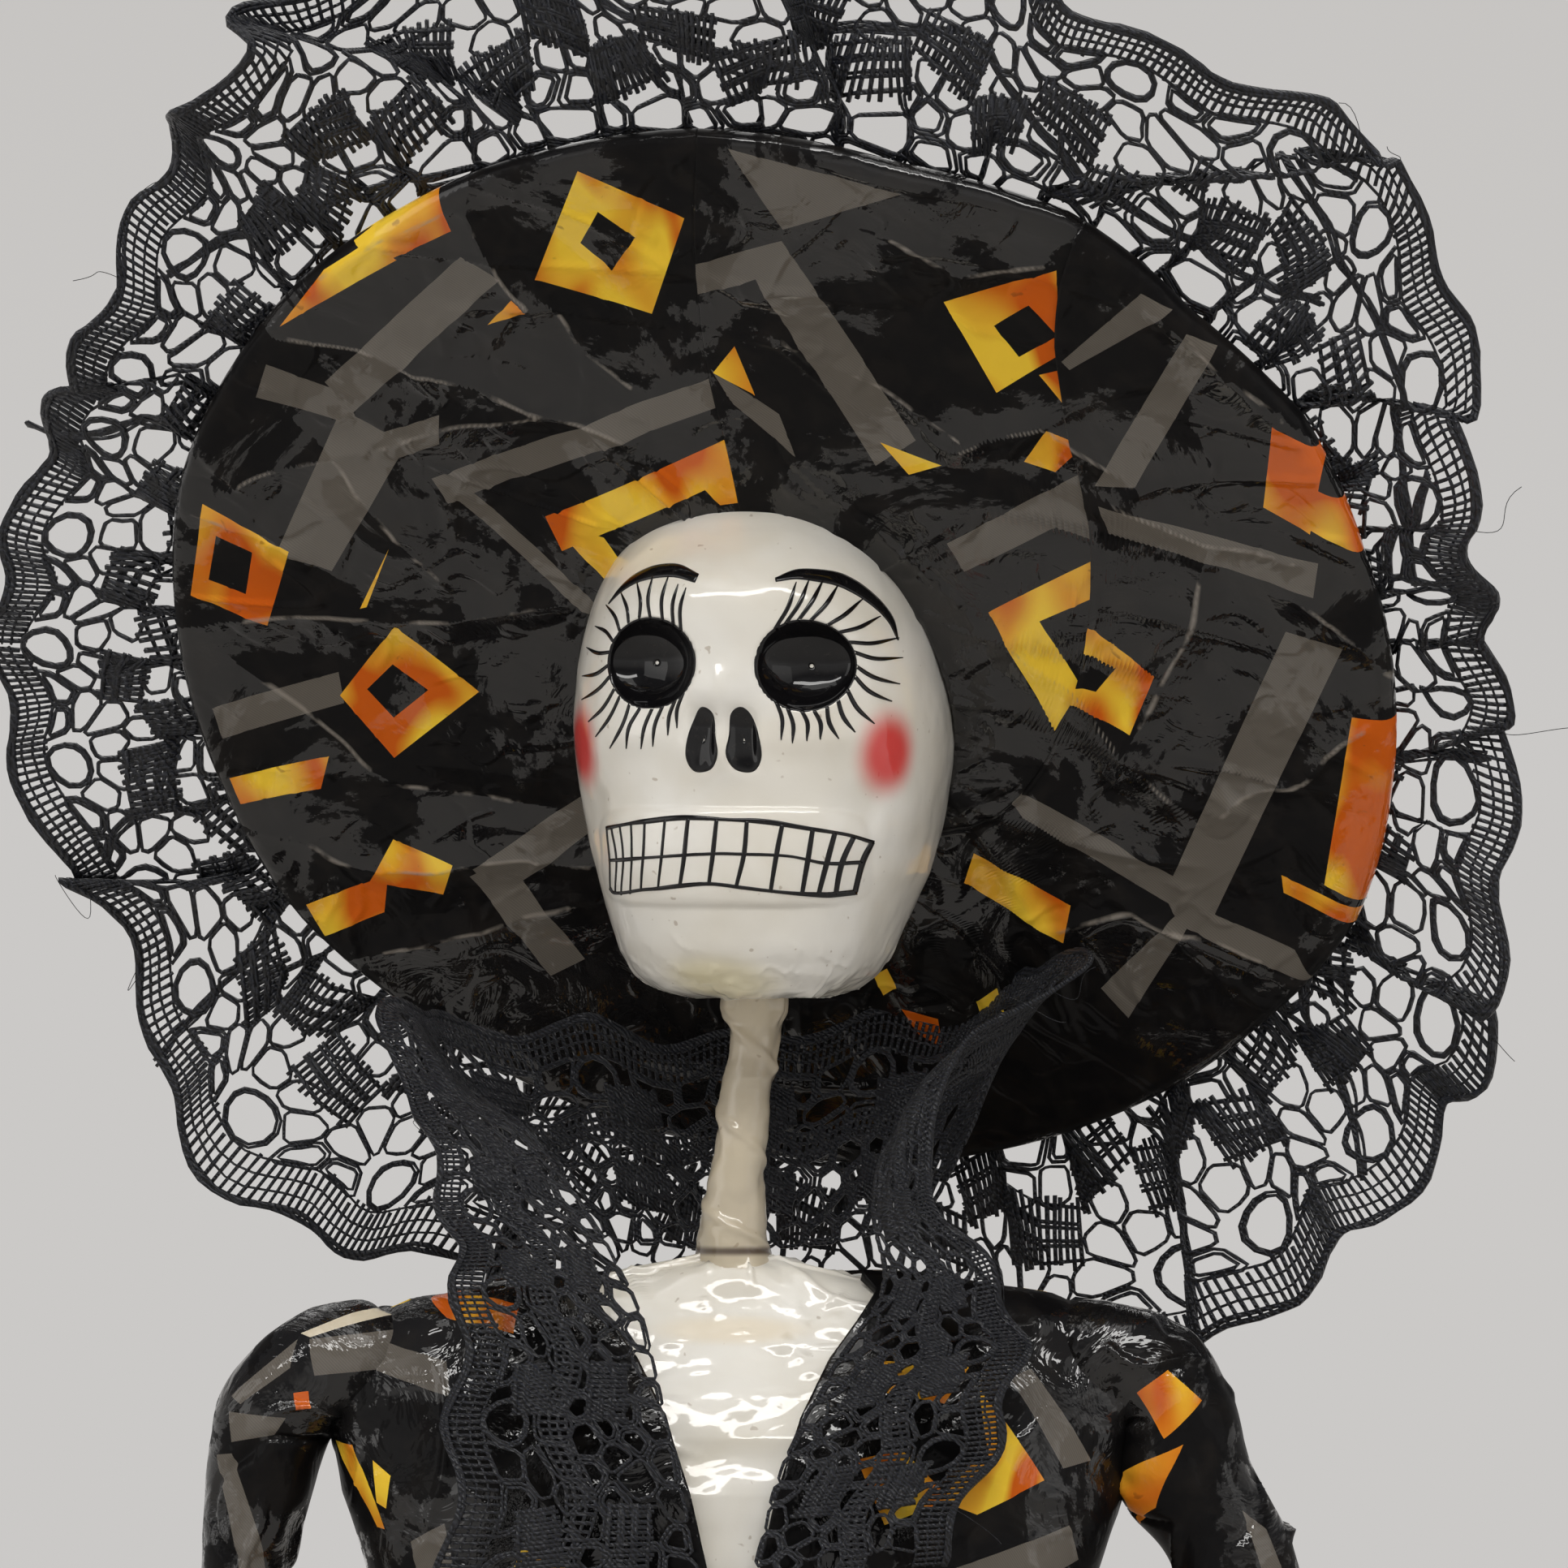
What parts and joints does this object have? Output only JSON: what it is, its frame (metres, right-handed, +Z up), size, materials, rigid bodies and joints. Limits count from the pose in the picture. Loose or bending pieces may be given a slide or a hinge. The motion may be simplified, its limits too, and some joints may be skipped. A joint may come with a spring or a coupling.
{
  "type": "papier-mache catrina figure",
  "caption": "Standing papier-mache skeleton lady in a lacquered printed-paper dress, with a wide tilted hat trimmed with gathered black lace.",
  "frame": {"origin": "centre of the underside of the base board, on the surface the figure stands on", "axes": "+Z up, -Y the way the chest faces, +X towards the figure's own left"},
  "size_m": [0.1627, 0.1298, 0.4532],
  "materials": {
    "board": "raw grey-brown card and rolled paper",
    "steel_wire": "annealed galvanised wire",
    "white_lacquer": "papier-mache painted ivory under glossy lacquer",
    "printed_paper": "black gift paper printed with grey bands and gold squares, crumpled and lacquered",
    "lace": "black polyester raschel lace"
  },
  "bodies": {
    "root": {"base_board": "board", "spine_wire": "steel_wire", "arm_wire": "steel_wire", "skirt_cone": "board", "torso_core": "board", "rib_cage": "white_lacquer", "neck": "white_lacquer", "skull": "white_lacquer", "hat_brim_board": "board", "brim_paper_right": "printed_paper", "brim_paper_middle": "printed_paper", "brim_paper_left": "printed_paper", "brim_paper_back": "printed_paper", "hat_crown": "board", "crown_paper": "printed_paper", "hat_seam_strip": "white_lacquer", "hat_lace": "lace", "collar_lace": "lace", "bodice_left_front": "printed_paper", "bodice_right_front": "printed_paper", "bodice_back": "printed_paper", "waist_band": "printed_paper", "sleeve_left_upper": "printed_paper", "sleeve_left_lower": "printed_paper", "sleeve_right_upper": "printed_paper", "sleeve_right_lower": "printed_paper", "skirt_front": "printed_paper", "skirt_left": "printed_paper", "skirt_back": "printed_paper", "skirt_right": "printed_paper", "hem_lace": "lace", "palm_left": "white_lacquer", "palm_right": "white_lacquer", "thumb_left": "white_lacquer", "index_left": "white_lacquer", "middle_left": "white_lacquer", "ring_left": "white_lacquer", "little_left": "white_lacquer", "thumb_right": "white_lacquer", "index_right": "white_lacquer", "middle_right": "white_lacquer", "ring_right": "white_lacquer", "little_right": "white_lacquer"}
  },
  "joints": []
}
